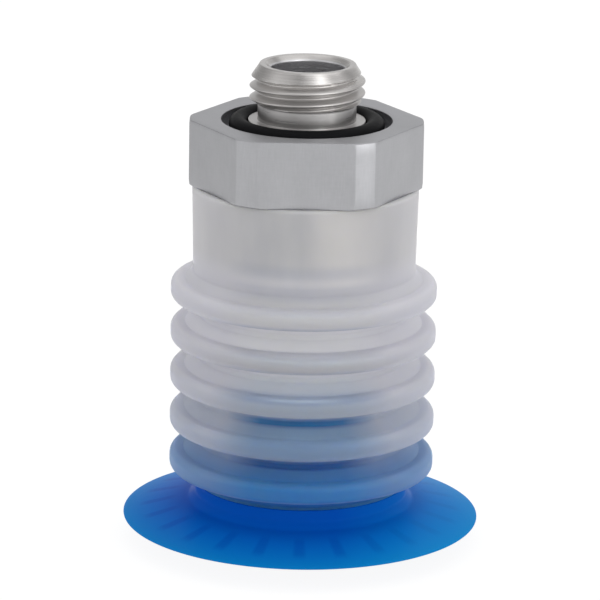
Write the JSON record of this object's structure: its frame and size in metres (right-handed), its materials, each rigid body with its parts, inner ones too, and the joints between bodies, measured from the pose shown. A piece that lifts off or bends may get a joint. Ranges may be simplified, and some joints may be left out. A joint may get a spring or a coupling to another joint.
{
  "type": "vacuum suction cup",
  "caption": "Bellows vacuum suction cup with a soft blue lip under a translucent folded body, held by a hexagonal metal fitting with a male thread, a face seal and an air bore.",
  "frame": {"origin": "on the cup's axis, in the plane that the rim of the lip touches", "axes": "+Z along the cup's axis, from the lip to the threaded nipple; X across two corners of the hexagon, and -Y towards the viewer of the picture"},
  "size_m": [0.0406, 0.0406, 0.0528],
  "materials": {
    "holder_metal": "fine ground",
    "nipple_metal": "turned",
    "seal_rubber": "matt",
    "filter_steel": "plain",
    "bellows_silicone": "frosted, translucent",
    "lip_silicone": "satin, translucent",
    "ring_plastic": "plain"
  },
  "bodies": {
    "holder": {"hex_body": "holder_metal", "threaded_nipple": "nipple_metal", "face_o_ring": "seal_rubber", "nipple_seal_ring": "seal_rubber", "filter_screen": "filter_steel", "filter_clip": "filter_steel"},
    "bellows": {"bellows": "bellows_silicone"},
    "lip_ring": {"lip_lock_ring": "ring_plastic"},
    "lip": {"lip": "lip_silicone"}
  },
  "joints": [
    {"name": "bellows_stroke", "type": "slide", "parent": "holder", "child": "bellows", "axis": [0, 0, 1], "range_m": [0, 0.01], "stiffness_N_per_m": 500, "deforming": ["bellows"]},
    {"name": "lip_tilt_x", "type": "hinge", "parent": "bellows", "child": "lip_ring", "pos_m": [0, 0, 0.00414], "axis": [1, 0, 0], "range_deg": [-5, 5], "stiffness_Nm_per_rad": 0.02},
    {"name": "lip_tilt_y", "type": "hinge", "parent": "lip_ring", "child": "lip", "pos_m": [0, 0, 0.00414], "axis": [0, 1, 0], "range_deg": [-5, 5], "stiffness_Nm_per_rad": 0.02, "deforming": ["lip"]}
  ]
}
